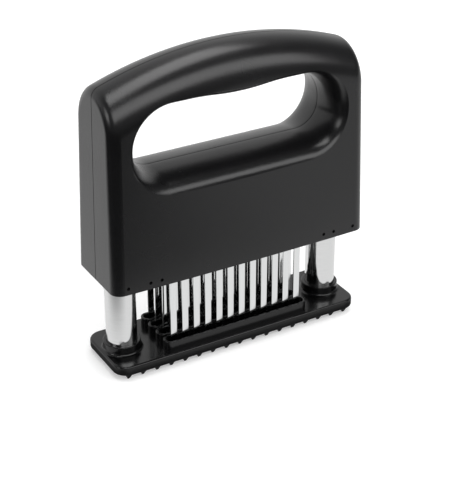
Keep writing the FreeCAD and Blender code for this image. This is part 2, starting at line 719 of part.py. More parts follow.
def foot_plate():
    body = new_body("foot")
    half_x = "(sizes.housing_length / 2 - sizes.foot_end_inset)"
    half_y = f"({HALF_DEPTH} - sizes.foot_side_inset)"
    outline = new_sketch(body, "foot_outline", "XY_Plane", "sizes.tooth_height")
    add_loop(outline, rounded_rectangle(half_x, half_y, "sizes.foot_corner"))
    slab = pad(body, outline, "sizes.foot_top - sizes.tooth_height")
    levels = (value("sizes.foot_top"), value("sizes.tooth_height"))
    rim = edges_where(slab, lambda point: any(near(point.z, level) for level in levels))
    fillet(body, slab, rim, "sizes.foot_edge")
    collars = new_sketch(body, "foot_collars", "XY_Plane", "sizes.foot_top - sizes.foot_edge")
    for hand in (-1, 1):
        add_circle(collars, f"{hand} * {POST_PLACE}", "0",
                   f"{POST_RADIUS} + sizes.fit + sizes.collar_wall")
    collar = pad(body, collars, "sizes.collar_top - sizes.foot_top + sizes.foot_edge")
    collar_radius = value(f"{POST_RADIUS} + sizes.fit + sizes.collar_wall")

    def on_collar(point, level):
        reach = math.hypot(abs(point.x) - value(POST_PLACE), point.y)
        return near(point.z, level) and near(reach, collar_radius)

    rooted = fillet(body, collar, edges_where(collar, lambda point: on_collar(point, levels[0])),
                    "sizes.collar_foot")
    top = value("sizes.collar_top")
    fillet(body, rooted, edges_where(rooted, lambda point: on_collar(point, top)), "sizes.collar_lip")
    for row in range(4):
        trough = new_sketch(body, f"foot_trough_{row + 1}", "XY_Plane", "sizes.foot_top - sizes.foot_edge")
        add_loop(trough, stadium("sizes.trough_end", row_place(row), "sizes.trough_outer"))
        pad(body, trough, "sizes.collar_top - sizes.foot_top + sizes.foot_edge")
    webs = new_sketch(body, "foot_trough_webs", "XY_Plane", "sizes.foot_top - sizes.foot_edge")
    straight = "(sizes.trough_end - sizes.trough_outer)"
    add_loop(webs, rectangle(f"-{straight}", row_place(0), straight, row_place(3)))
    pad(body, webs, "sizes.collar_top - sizes.foot_top + sizes.foot_edge - sizes.web_drop")
    hollows = new_sketch(body, "foot_hollows", "XY_Plane", "sizes.collar_top")
    inner_end = "(sizes.trough_end - sizes.trough_outer + sizes.trough_inner)"
    for row in range(4):
        add_loop(hollows, stadium(inner_end, row_place(row), "sizes.trough_inner"))
    hollow = pocket(body, hollows, "sizes.collar_top - sizes.trough_floor")
    end = value("sizes.trough_end")
    lips = edges_where(hollow, lambda point: near(point.z, top) and abs(point.x) < end + 0.01)
    fillet(body, hollow, lips, "sizes.trough_lip")
    slots = new_sketch(body, "foot_slots", "XY_Plane", "sizes.foot_top")
    for row in range(4):
        add_loop(slots, stadium(f"({ROW_REACH} + sizes.blade_width / 2 + sizes.slot_half_width)",
                                row_place(row), "sizes.slot_half_width"))
    pocket(body, slots, symmetric=True)
    sockets = new_sketch(body, "foot_sockets", "XY_Plane", "sizes.collar_top")
    for hand in (-1, 1):
        add_circle(sockets, f"{hand} * {POST_PLACE}", "0", f"{POST_RADIUS} + sizes.fit")
    pocket(body, sockets, "sizes.collar_top - sizes.foot_top")
    for label, hand in SIDES:
        seat = new_sketch(body, f"foot_{label}_screw_seat", "XZ_Plane")
        place = f"({hand} * {POST_PLACE})"
        head = "(sizes.screw_head_diameter / 2 + sizes.fit)"
        shank = "(sizes.screw_diameter / 2 + sizes.fit)"
        low = "(sizes.tooth_height - 1)"
        add_loop(seat, [
            (place, low), (f"({place} + {head})", low),
            (f"({place} + {head})", "sizes.tooth_height"),
            (f"({place} + {shank})", "(sizes.tooth_height + sizes.screw_head_height)"),
            (f"({place} + {shank})", "(sizes.foot_top + 1)"), (place, "(sizes.foot_top + 1)"),
        ])
        axis = seat.addGeometry(Part.LineSegment(FreeCAD.Vector(value(place), 0, 0),
                                                 FreeCAD.Vector(value(place), 1, 0)), True)
        hold(seat, "DistanceX", axis, 1, value(place), place)
        seat.addConstraint(Sketcher.Constraint("Vertical", axis))
        bore = body.newObject("PartDesign::Groove", f"foot_{label}_screw_hole")
        bore.Profile = seat
        bore.ReferenceAxis = (seat, ["Axis0"])
        bore.Angle = 360
    DOC.recompute()
    tooth = new_sketch(body, "foot_tooth", "XY_Plane", "sizes.tooth_height")
    start = "(-1 * (sizes.tooth_count - 1) / 2 * sizes.tooth_pitch)"
    for side in (-1, 1):
        add_loop(tooth, rectangle(f"({start} - sizes.tooth_width / 2)",
                                  f"({side} * sizes.tooth_line - sizes.tooth_depth / 2)",
                                  f"({start} + sizes.tooth_width / 2)",
                                  f"({side} * sizes.tooth_line + sizes.tooth_depth / 2)"))
    lean = "atan((sizes.tooth_depth - sizes.tooth_tip) / 2 / sizes.tooth_height)"
    spike = pad(body, tooth, "sizes.tooth_height", reverse=True, taper=f"-1 * {lean}")
    row = body.newObject("PartDesign::LinearPattern", "foot_teeth")
    row.Originals = [spike]
    row.Direction = (tooth, ["H_Axis"])
    row.Mode = "Spacing"
    row.setExpression("Offset", "sizes.tooth_pitch")
    row.setExpression("Occurrences", "sizes.tooth_count")
    body.Tip = row
    finish(body, "foot_plate")


# ---- posts, plugs, clips and springs ----

def post(label, hand):
    body = new_body(f"{label}_tube")
    ring = new_sketch(body, f"{label}_tube_ring", "XY_Plane", "sizes.foot_top")
    place = f"{hand} * {POST_PLACE}"
    add_circle(ring, place, "0", POST_RADIUS)
    add_circle(ring, place, "0", POST_BORE)
    pad(body, ring, f"{POST_TOP} - sizes.foot_top")
    notches = new_sketch(body, f"{label}_tube_notches", "XY_Plane", BUSH_TOP)
    low = f"({POST_RADIUS} - sizes.post_wall - sizes.clip_bite)"
    for side in (-1, 1):
        near_y = f"({side} * {low})"
        far_y = f"({side} * sizes.post_diameter)"
        left = f"({place} - {POST_RADIUS})"
        right = f"({place} + {POST_RADIUS})"
        add_loop(notches, rectangle(left, near_y, right, far_y) if side > 0
                 else rectangle(left, far_y, right, near_y))
    pocket(body, notches, "sizes.clip_thickness", reverse=True)
    finish(body, f"{label}_post")


def stop_clip(label, hand):
    """A horseshoe clip, pushed on from the middle of the tool into the post's two notches."""
    body = new_body(f"{label}_clip")
    sketch = new_sketch(body, f"{label}_clip_outline", "XY_Plane", BUSH_TOP)
    place = f"{hand} * {POST_PLACE}"
    inner_y = f"({POST_RADIUS} - sizes.post_wall - sizes.clip_bite + sizes.press_clearance)"
    outer_y = f"({POST_RADIUS} + sizes.clip_band)"
    back = f"({place} - {hand} * sizes.clip_reach)"
    bridge = f"({place} - {hand} * (sizes.clip_reach - sizes.clip_band))"
    tip = f"({place} + {hand} * sizes.clip_tip)"
    corners = [
        (back, f"-{outer_y}"), (tip, f"-{outer_y}"), (tip, f"-{inner_y}"), (bridge, f"-{inner_y}"),
        (bridge, inner_y), (tip, inner_y), (tip, outer_y), (back, outer_y),
    ]
    add_loop(sketch, corners)
    pad(body, sketch, "sizes.clip_thickness - sizes.press_clearance")
    finish(body, f"{label}_stop_clip")


def post_plug(label, hand):
    body = new_body(f"{label}_plug")
    sketch = new_sketch(body, f"{label}_plug_ring", "XY_Plane", "sizes.foot_top")
    place = f"{hand} * {POST_PLACE}"
    add_circle(sketch, place, "0", f"{POST_BORE} - sizes.press_clearance")
    add_circle(sketch, place, "0", "sizes.screw_diameter / 2 + sizes.press_clearance")
    pad(body, sketch, "sizes.plug_height")
    finish(body, f"{label}_post_plug")


def post_screw(label, hand):
    body = new_body(f"{label}_screw")
    screw_profile(body, f"{label}_screw_section", "(sizes.screw_head_diameter / 2)",
                  "sizes.screw_head_height", "(sizes.screw_diameter / 2)", "sizes.screw_length", True)
    body.setExpression("Placement.Base.x", f"{hand} * {POST_PLACE}")
    body.setExpression("Placement.Base.z", "sizes.tooth_height + sizes.press_clearance")
    finish(body, f"{label}_post_screw")


def spring(label, hand):
    """A round wire coiled from the plug up to the housing's ledge."""
    wire = "(sizes.spring_wire / 2)"
    rise = f"({SPRING_SEAT} - {PLUG_TOP} - 2 * {wire})"
    path = DOC.addObject("Part::Helix", f"{label}_coil")
    path.setExpression("Radius", "sizes.spring_radius")
    path.setExpression("Height", rise)
    path.setExpression("Pitch", f"{rise} / sizes.spring_turns")
    section = DOC.addObject("Part::Circle", f"{label}_wire")
    section.setExpression("Radius", wire)
    section.setExpression("Placement.Base.x", "sizes.spring_radius")
    section.Placement.Rotation = FreeCAD.Rotation(FreeCAD.Vector(1, 0, 0), 90)
    coil = DOC.addObject("Part::Sweep", f"{label}_spring_coil")
    coil.Sections = [section]
    coil.Spine = (path, [])
    coil.Solid = True
    coil.Frenet = True
    coil.setExpression("Placement.Base.x", f"{hand} * {POST_PLACE}")
    coil.setExpression("Placement.Base.z", f"{PLUG_TOP} + {wire}")
    finish(coil, f"{label}_spring")


# ---- the whole tool ----

for half, side in HALVES:
    housing_half(half, side)
bottom_cover()
blade_carrier()
blade_clamp()
clamp_screws()
blade_pins()
for row in range(4):
    blade_row(row)
foot_plate()
for label, hand in SIDES:
    bush(label, hand)
    post(label, hand)
    stop_clip(label, hand)
    post_plug(label, hand)
    post_screw(label, hand)
    spring(label, hand)
DOC.recompute()

for item in DOC.Objects:
    if "Invalid" in item.State or "Error" in item.State:
        raise RuntimeError(f"{item.Name} failed: {item.State}")
for piece in SUB_PARTS:
    if piece.Shape.isNull() or not piece.Shape.isValid():
        raise RuntimeError(f"{piece.Label} has no valid shape")

os.makedirs("parts", exist_ok=True)
for piece in SUB_PARTS:
    piece.Shape.exportStep(f"parts/{piece.Label}.step")
    print(piece.Label, len(piece.Shape.Solids), round(piece.Shape.Volume, 1))
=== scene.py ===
# Blade meat tenderizer: an arched satin-black press with four rows of steel blades, sliding on two
# steel tubes over a glossy toothed foot.
import math

import bpy
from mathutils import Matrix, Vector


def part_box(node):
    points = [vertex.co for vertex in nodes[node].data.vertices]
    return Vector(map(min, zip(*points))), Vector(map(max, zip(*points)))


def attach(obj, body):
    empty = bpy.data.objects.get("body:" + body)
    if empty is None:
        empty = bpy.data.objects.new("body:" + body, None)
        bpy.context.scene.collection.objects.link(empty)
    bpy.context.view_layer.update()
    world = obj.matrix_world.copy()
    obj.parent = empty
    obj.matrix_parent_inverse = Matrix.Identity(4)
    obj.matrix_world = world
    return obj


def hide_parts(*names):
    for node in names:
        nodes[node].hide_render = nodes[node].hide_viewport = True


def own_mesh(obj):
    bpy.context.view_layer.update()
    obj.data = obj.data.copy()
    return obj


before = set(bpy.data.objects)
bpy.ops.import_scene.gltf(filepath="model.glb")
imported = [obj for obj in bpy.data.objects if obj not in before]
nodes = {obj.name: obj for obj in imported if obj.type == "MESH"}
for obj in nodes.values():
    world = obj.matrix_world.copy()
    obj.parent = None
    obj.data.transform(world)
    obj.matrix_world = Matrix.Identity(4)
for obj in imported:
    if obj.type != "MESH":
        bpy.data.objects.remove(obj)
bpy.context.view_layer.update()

millimetre = 0.001


# Colours are written as the eye sees them and turned to linear light here.
def linear(hexColour):
    channels = [int(hexColour[place:place + 2], 16) / 255 for place in (1, 3, 5)]
    return [c / 12.92 if c <= 0.04045 else ((c + 0.055) / 1.055) ** 2.4 for c in channels] + [1.0]


white = linear("#FFFFFF")


def addNode(tree, kind, settings=None, links=None):
    # a setting goes to the node's property of that name, or else to its socket of that name or number
    node = tree.nodes.new(kind)
    modes = {key: value for key, value in (settings or {}).items() if hasattr(node, str(key))}
    for key, value in modes.items():
        setattr(node, key, value)
    for key, value in (settings or {}).items():
        if key not in modes:
            node.inputs[key].default_value = value
    for key, source in (links or {}).items():
        tree.links.new(source, node.inputs[key])
    return node


def newMaterial(name):
    material = bpy.data.materials.new(name)
    material.use_nodes = True
    material.node_tree.nodes.clear()
    return material, material.node_tree


def perMillimetre(size):
    return 1 / (size * millimetre)  # a noise scale whose spots are about this many millimetres


def paintNodes(material, *names):
    for name in names:
        mesh = nodes[name].data
        mesh.materials.clear()
        mesh.materials.append(material)


noiseSpan = (0.3, 0.7)  # the part of its range that a noise mostly keeps to


def finishSurface(tree, look, tone, height, body):
    # the tone moves the colour and the roughness between their two ends, and the height gives the relief
    colour = addNode(tree, "ShaderNodeMix",
                     {"data_type": "RGBA", 6: linear(look["low"]), 7: linear(look["high"])}, {0: tone})
    gloss = addNode(tree, "ShaderNodeMapRange",
                    {"From Min": noiseSpan[0], "From Max": noiseSpan[1],
                     "To Min": look["roughness"][0], "To Max": look["roughness"][1]}, {"Value": tone})
    relief = addNode(tree, "ShaderNodeBump",
                     {"Strength": 1.0, "Distance": look["depth"] * millimetre}, {"Height": height})
    shader = addNode(tree, "ShaderNodeBsdfPrincipled", body,
                     {"Base Color": colour.outputs[2], "Roughness": gloss.outputs[0],
                      "Normal": relief.outputs[0]})
    addNode(tree, "ShaderNodeOutputMaterial", None, {"Surface": shader.outputs[0]})


# Sizes and depths are in millimetres, here and in the metals.
# Injection-moulded ABS: the eye sees soft, wide bands of light. Its spark-eroded grain is drawn some ten
# times coarser than a real one, so that it shows.
housingPlastic = {
    "low": "#0F0F10",
    "high": "#141415",
    "roughness": (0.22, 0.28),
    "ior": 1.50,
    "grain": 0.6,
    "depth": 0.005,
    "drift": 24.0,
}
# ABS from a polished mould: darker and glossier, with slow waves where the plate cooled unevenly.
footPlastic = {
    "low": "#060607",
    "high": "#0A0A0B",
    "roughness": (0.17, 0.24),
    "ior": 1.46,
    "grain": 5.0,
    "depth": 0.008,
    "drift": 14.0,
}
# Glass-filled nylon: dull, with the fibres' faint mottle.
innerPlastic = {
    "low": "#1D1D1F",
    "high": "#242426",
    "roughness": (0.48, 0.60),
    "ior": 1.50,
    "grain": 0.5,
    "depth": 0.010,
    "drift": 9.0,
}
# Natural acetal: milky and waxy, as sliding bushes are.
bushPlastic = {
    "low": "#CFCDC4",
    "high": "#DEDCD4",
    "roughness": (0.38, 0.48),
    "ior": 1.48,
    "grain": 0.6,
    "depth": 0.008,
    "drift": 7.0,
}


def mouldedPlastic(name, look):
    # a body colour and a sheen that drift a little, where the melt cooled at different speeds, under a
    # fine grain from the mould's steel
    material, tree = newMaterial(name)
    place = addNode(tree, "ShaderNodeTexCoord").outputs["Object"]
    drift = addNode(tree, "ShaderNodeTexNoise",
                    {"Scale": perMillimetre(look["drift"]), "Detail": 3.0}, {"Vector": place})
    grain = addNode(tree, "ShaderNodeTexNoise",
                    {"Scale": perMillimetre(look["grain"]), "Detail": 4.0}, {"Vector": place})
    finishSurface(tree, look, drift.outputs[0], grain.outputs[0], {"IOR": look["ior"]})
    return material


# A streak is as wide, deep and high as given. Grinding and buffing lines are drawn some ten times coarser
# than real ones, so that they show.
# Stainless strip, ground along its length: bright, nearly a mirror across the grinding lines.
bladeSteel = {
    "low": "#D9DADA",
    "high": "#EDEEEE",
    "roughness": (0.04, 0.08),
    "streak": (0.16, 0.16, 30.0),
    "depth": 0.0004,
}
# Drawn and buffed stainless tube: fine rings round it from the buffing belt.
tubeSteel = {
    "low": "#D2D3D3",
    "high": "#E6E6E6",
    "roughness": (0.06, 0.10),
    "streak": (6.0, 6.0, 0.22),
    "depth": 0.002,
}
# Steel with bright zinc plate: slightly mottled.
zincPlate = {
    "low": "#A9ABAE",
    "high": "#C3C5C8",
    "roughness": (0.28, 0.42),
    "streak": (0.8, 0.8, 0.8),
    "depth": 0.004,
}
# Patented spring wire, drawn and left oily: greyer, with a soft gleam.
springSteel = {
    "low": "#8D9093",
    "high": "#A8ABAE",
    "roughness": (0.26, 0.38),
    "streak": (0.5, 0.5, 0.5),
    "depth": 0.002,
}


def workedSteel(name, look):
    # bright metal whose fine lines run the way it was worked, so that reflections stretch across them
    # and the tone breaks up into thin streaks
    material, tree = newMaterial(name)
    place = addNode(tree, "ShaderNodeTexCoord").outputs["Object"]
    stretch = addNode(tree, "ShaderNodeMapping",
                      {"Scale": [perMillimetre(size) for size in look["streak"]]}, {"Vector": place})
    lines = addNode(tree, "ShaderNodeTexNoise", {"Scale": 1.0, "Detail": 3.0},
                    {"Vector": stretch.outputs[0]})
    finishSurface(tree, look, lines.outputs[0], lines.outputs[0], {"Metallic": 1.0})
    return material


satinAbs = mouldedPlastic("satin_black_abs", housingPlastic)
polishedAbs = mouldedPlastic("polished_black_abs", footPlastic)
glassNylon = mouldedPlastic("moulded_glass_filled_nylon", innerPlastic)
acetal = mouldedPlastic("moulded_natural_acetal", bushPlastic)
groundSteel = workedSteel("ground_stainless_strip", bladeSteel)
drawnTube = workedSteel("buffed_stainless_tube", tubeSteel)
zincSteel = workedSteel("zinc_plated_steel", zincPlate)
springWire = workedSteel("drawn_spring_wire", springSteel)

paintNodes(satinAbs, "front_housing", "rear_housing", "bottom_cover")
paintNodes(polishedAbs, "foot_plate")
paintNodes(glassNylon, "blade_carrier", "blade_clamp", "left_post_plug", "right_post_plug")
paintNodes(acetal, "left_bush", "right_bush")
paintNodes(drawnTube, "left_post", "right_post")
paintNodes(zincSteel, "blade_pins", "clamp_screws", "left_stop_clip", "right_stop_clip")
print("materials done")


def newTree(name, inputs):
    # the inputs are named after the settings, and a whole number makes a whole-number input
    tree = bpy.data.node_groups.new(name, "GeometryNodeTree")
    tree.is_modifier = True
    tree.interface.new_socket("Geometry", in_out="OUTPUT", socket_type="NodeSocketGeometry")
    for label, amount in inputs.items():
        kind = "NodeSocketInt" if isinstance(amount, int) else "NodeSocketFloat"
        tree.interface.new_socket(label, in_out="INPUT", socket_type=kind)
    return tree, tree.nodes.new("NodeGroupInput").outputs


def crispEdges(tree, geometry, angle=35):
    # smooth shading that stops at every edge sharper than the angle
    bend = addNode(tree, "GeometryNodeInputMeshEdgeAngle")
    sharp = addNode(tree, "FunctionNodeCompare", {"operation": "GREATER_THAN", 1: math.radians(angle)},
                    {0: bend.outputs[0]})
    smooth = addNode(tree, "GeometryNodeSetShadeSmooth", {"Shade Smooth": True}, {"Geometry": geometry})
    return addNode(tree, "GeometryNodeSetShadeSmooth", {"domain": "EDGE", "Shade Smooth": False},
                   {"Geometry": smooth.outputs[0], "Selection": sharp.outputs[0]}).outputs[0]


def endTree(tree, geometry, material):
    real = addNode(tree, "GeometryNodeRealizeInstances", None, {"Geometry": geometry})
    painted = addNode(tree, "GeometryNodeSetMaterial", {"Material": material}, {"Geometry": real.outputs[0]})
    addNode(tree, "NodeGroupOutput", None, {0: painted.outputs[0]})


def build(name, tree, inputs):
    # runs the tree once and keeps its result as a plain mesh
    piece = bpy.data.objects.new(name, bpy.data.meshes.new(name))
    bpy.context.scene.collection.objects.link(piece)
    modifier = piece.modifiers.new("build", "NODES")
    modifier.node_group = tree
    for item in tree.interface.items_tree:
        if item.in_out == "INPUT":
            modifier[item.identifier] = inputs[item.name]
    depsgraph = bpy.context.evaluated_depsgraph_get()
    mesh = bpy.data.meshes.new_from_object(piece.evaluated_get(depsgraph))
    piece.modifiers.remove(modifier)
    piece.data = mesh
    mesh.name = name
    return piece


# Each blade is a ground strip with eased edges and a slanted point that is bevelled from both faces.
bladeRow = {
    "Count": 12,
    "Pitch": 5.267 * millimetre,
    "Width": 2.78 * millimetre,
    "Thickness": 0.70 * millimetre,
    "Eased Edge": 0.10 * millimetre,
    "Edge Steps": 3,
    "Slant": 1.6 * millimetre,
    "Grind": 1.8 * millimetre,
    "Point Share": 0.15,
}


def bladeTree():
    tree, given = newTree("blade_row", {**bladeRow, "Tip": 0.0, "Top": 0.0, "Row Place": 0.0})
    outline = addNode(tree, "GeometryNodeCurvePrimitiveQuadrilateral", None,
                      {"Width": given["Width"], "Height": given["Thickness"]})
    eased = addNode(tree, "GeometryNodeFilletCurve", {"mode": "POLY"},
                    {"Curve": outline.outputs[0], "Radius": given["Eased Edge"],
                     "Count": given["Edge Steps"]})
    # the strip has three rings: the point, the shoulder where the grinding ends, and the head
    shoulderRing, ringCount = 1, 3
    low = addNode(tree, "ShaderNodeCombineXYZ", None, {2: given["Tip"]})
    high = addNode(tree, "ShaderNodeCombineXYZ", None, {2: given["Top"]})
    spine = addNode(tree, "GeometryNodeCurvePrimitiveLine", None,
                    {"Start": low.outputs[0], "End": high.outputs[0]})
    rings = addNode(tree, "GeometryNodeResampleCurve", {"mode": "COUNT", "Count": ringCount},
                    {"Curve": spine.outputs[0]})
    number = addNode(tree, "GeometryNodeInputIndex")
    isShoulder = addNode(tree, "FunctionNodeCompare",
                         {"data_type": "INT", "operation": "EQUAL", 3: shoulderRing},
                         {2: number.outputs[0]})
    shoulderUp = addNode(tree, "ShaderNodeMath", {"operation": "ADD"}, {0: given["Tip"], 1: given["Grind"]})
    shoulder = addNode(tree, "ShaderNodeCombineXYZ", None, {2: shoulderUp.outputs[0]})
    placed = addNode(tree, "GeometryNodeSetPosition", None,
                     {"Geometry": rings.outputs[0], "Selection": isShoulder.outputs[0],
                      "Position": shoulder.outputs[0]})
    strip = addNode(tree, "GeometryNodeCurveToMesh", {"Fill Caps": True},
                    {"Curve": placed.outputs[0], "Profile Curve": eased.outputs[0]})
    # the two lower rings, less than twice the grind above the tip, slope across the width
    where = addNode(tree, "GeometryNodeInputPosition")
    parts = addNode(tree, "ShaderNodeSeparateXYZ", None, {0: where.outputs[0]})
    aboveShoulder = addNode(tree, "ShaderNodeMath", {"operation": "MULTIPLY_ADD", 1: 2.0},
                            {0: given["Grind"], 2: given["Tip"]})
    isLow = addNode(tree, "ShaderNodeMath", {"operation": "LESS_THAN"},
                    {0: parts.outputs[2], 1: aboveShoulder.outputs[0]})
    across = addNode(tree, "ShaderNodeMath", {"operation": "DIVIDE"},
                     {0: parts.outputs[0], 1: given["Width"]})
    share = addNode(tree, "ShaderNodeMath", {"operation": "SUBTRACT", 0: 0.5}, {1: across.outputs[0]})
    rise = addNode(tree, "ShaderNodeMath", {"operation": "MULTIPLY"},
                   {0: share.outputs[0], 1: given["Slant"]})
    lift = addNode(tree, "ShaderNodeMath", {"operation": "MULTIPLY_ADD"},
                   {0: rise.outputs[0], 1: isLow.outputs[0], 2: parts.outputs[2]})
    # the lowest ring is pinched to the point's edge
    halfWay = addNode(tree, "ShaderNodeMath", {"operation": "MULTIPLY_ADD", 1: 0.5},
                      {0: given["Grind"], 2: given["Tip"]})
    isPoint = addNode(tree, "ShaderNodeMath", {"operation": "LESS_THAN"},
                      {0: parts.outputs[2], 1: halfWay.outputs[0]})
    loss = addNode(tree, "ShaderNodeMath", {"operation": "SUBTRACT", 1: 1.0}, {0: given["Point Share"]})
    pinch = addNode(tree, "ShaderNodeMath", {"operation": "MULTIPLY_ADD", 2: 1.0},
                    {0: loss.outputs[0], 1: isPoint.outputs[0]})
    thin = addNode(tree, "ShaderNodeMath", {"operation": "MULTIPLY"},
                   {0: parts.outputs[1], 1: pinch.outputs[0]})
    shaped = addNode(tree, "ShaderNodeCombineXYZ", None,
                     {0: parts.outputs[0], 1: thin.outputs[0], 2: lift.outputs[0]})
    ground = addNode(tree, "GeometryNodeSetPosition", None,
                     {"Geometry": strip.outputs[0], "Position": shaped.outputs[0]})
    # the blades stand in a row, centred on the tool
    last = addNode(tree, "ShaderNodeMath", {"operation": "SUBTRACT", 1: 1.0}, {0: given["Count"]})
    reach = addNode(tree, "ShaderNodeMath", {"operation": "MULTIPLY"},
                    {0: last.outputs[0], 1: given["Pitch"]})
    first = addNode(tree, "ShaderNodeMath", {"operation": "MULTIPLY", 1: -0.5}, {0: reach.outputs[0]})
    start = addNode(tree, "ShaderNodeCombineXYZ", None, {0: first.outputs[0], 1: given["Row Place"]})
    step = addNode(tree, "ShaderNodeCombineXYZ", None, {0: given["Pitch"]})
    places = addNode(tree, "GeometryNodeMeshLine", None,
                     {"Count": given["Count"], "Start Location": start.outputs[0], "Offset": step.outputs[0]})
    row = addNode(tree, "GeometryNodeInstanceOnPoints", None,
                  {"Points": places.outputs[0], "Instance": crispEdges(tree, ground.outputs[0])})
    endTree(tree, row.outputs[0], groundSteel)
    return tree


def buildBlades():
    tree = bladeTree()
    for number in (1, 2, 3, 4):
        node = f"blade_row_{number}"
        low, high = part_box(node)
        piece = build(f"blades_{number}", tree, {**bladeRow, "Tip": low[2], "Top": high[2],
                                                 "Row Place": (low[1] + high[1]) / 2})
        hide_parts(node)
        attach(piece, "handle")


buildBlades()
print("blades done")


# A return spring: round wire with one closed turn at each end.
coil = {
    "Turns": 12,
    "Radius": 4.1 * millimetre,
    "Wire": 0.9 * millimetre,
    "Closed Turns": 1.0,
    "Turn Steps": 20,
    "Wire Steps": 10,
}


def coilTree():
    tree, given = newTree("coil_spring", {**coil, "Foot": 0.0, "Top": 0.0, "Place": 0.0})
    helix = addNode(tree, "GeometryNodeCurveSpiral", {"Height": 0.0},
                    {"Resolution": given["Turn Steps"], "Rotations": given["Turns"],
                     "Start Radius": given["Radius"], "End Radius": given["Radius"]})
    along = addNode(tree, "GeometryNodeSplineParameter")
    turn = addNode(tree, "ShaderNodeMath", {"operation": "MULTIPLY"},
                   {0: along.outputs[0], 1: given["Turns"]})
    lastOpen = addNode(tree, "ShaderNodeMath", {"operation": "SUBTRACT"},
                       {0: given["Turns"], 1: given["Closed Turns"]})
    # closed turns climb by one wire each, and the open turns between them share the rest evenly
    closedRise = addNode(tree, "ShaderNodeMath", {"operation": "MULTIPLY"},
                         {0: given["Closed Turns"], 1: given["Wire"]})
    wholeRise = addNode(tree, "ShaderNodeMath", {"operation": "SUBTRACT"},
                        {0: given["Top"], 1: given["Foot"]})
    lessWire = addNode(tree, "ShaderNodeMath", {"operation": "SUBTRACT"},
                       {0: wholeRise.outputs[0], 1: given["Wire"]})
    openRise = addNode(tree, "ShaderNodeMath", {"operation": "MULTIPLY_ADD", 1: -2.0},
                       {0: closedRise.outputs[0], 2: lessWire.outputs[0]})
    low = addNode(tree, "ShaderNodeMapRange", {"From Min": 0.0, "To Min": 0.0},
                  {"Value": turn.outputs[0], "From Max": given["Closed Turns"],
                   "To Max": closedRise.outputs[0]})
    middle = addNode(tree, "ShaderNodeMapRange", {"To Min": 0.0},
                     {"Value": turn.outputs[0], "From Min": given["Closed Turns"],
                      "From Max": lastOpen.outputs[0], "To Max": openRise.outputs[0]})
    high = addNode(tree, "ShaderNodeMapRange", {"To Min": 0.0},
                   {"Value": turn.outputs[0], "From Min": lastOpen.outputs[0], "From Max": given["Turns"],
                    "To Max": closedRise.outputs[0]})
    # the three climbs add up, from half a wire above the seat
    climb = addNode(tree, "ShaderNodeMath", {"operation": "MULTIPLY_ADD", 1: 0.5},
                    {0: given["Wire"], 2: given["Foot"]})
    for stretch in (low, middle, high):
        climb = addNode(tree, "ShaderNodeMath", {"operation": "ADD"},
                        {0: climb.outputs[0], 1: stretch.outputs[0]})
    shift = addNode(tree, "ShaderNodeCombineXYZ", None, {0: given["Place"], 2: climb.outputs[0]})
    risen = addNode(tree, "GeometryNodeSetPosition", None,
                    {"Geometry": helix.outputs[0], "Offset": shift.outputs[0]})
    half = addNode(tree, "ShaderNodeMath", {"operation": "MULTIPLY", 1: 0.5}, {0: given["Wire"]})
    section = addNode(tree, "GeometryNodeCurvePrimitiveCircle", None,
                      {"Resolution": given["Wire Steps"], "Radius": half.outputs[0]})
    wire = addNode(tree, "GeometryNodeCurveToMesh", {"Fill Caps": True},
                   {"Curve": risen.outputs[0], "Profile Curve": section.outputs[0]})
    # the flats of the wire meet at 36 degrees and stay smooth
    endTree(tree, crispEdges(tree, wire.outputs[0], angle=50), springWire)
    return tree


def buildSprings():
    tree = coilTree()
    for side in ("left", "right"):
        node = f"{side}_spring"
        low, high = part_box(node)
        place = (low[0] + high[0]) / 2
        piece = build(f"{side}_coil", tree, {**coil, "Foot": low[2], "Top": high[2], "Place": place})
        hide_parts(node)
        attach(piece, "foot")
        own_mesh(piece)


buildSprings()
print("springs done")


# Countersunk screws with a cross recess, driven up into the foot.
footScrew = {
    "Head": 6.0 * millimetre,
    "Head Height": 1.7 * millimetre,
    "Shank": 3.0 * millimetre,
    "Recess Width": 0.75 * millimetre,
    "Recess Length": 3.4 * millimetre,
    "Recess Depth": 1.2 * millimetre,
    "Facets": 48,
}


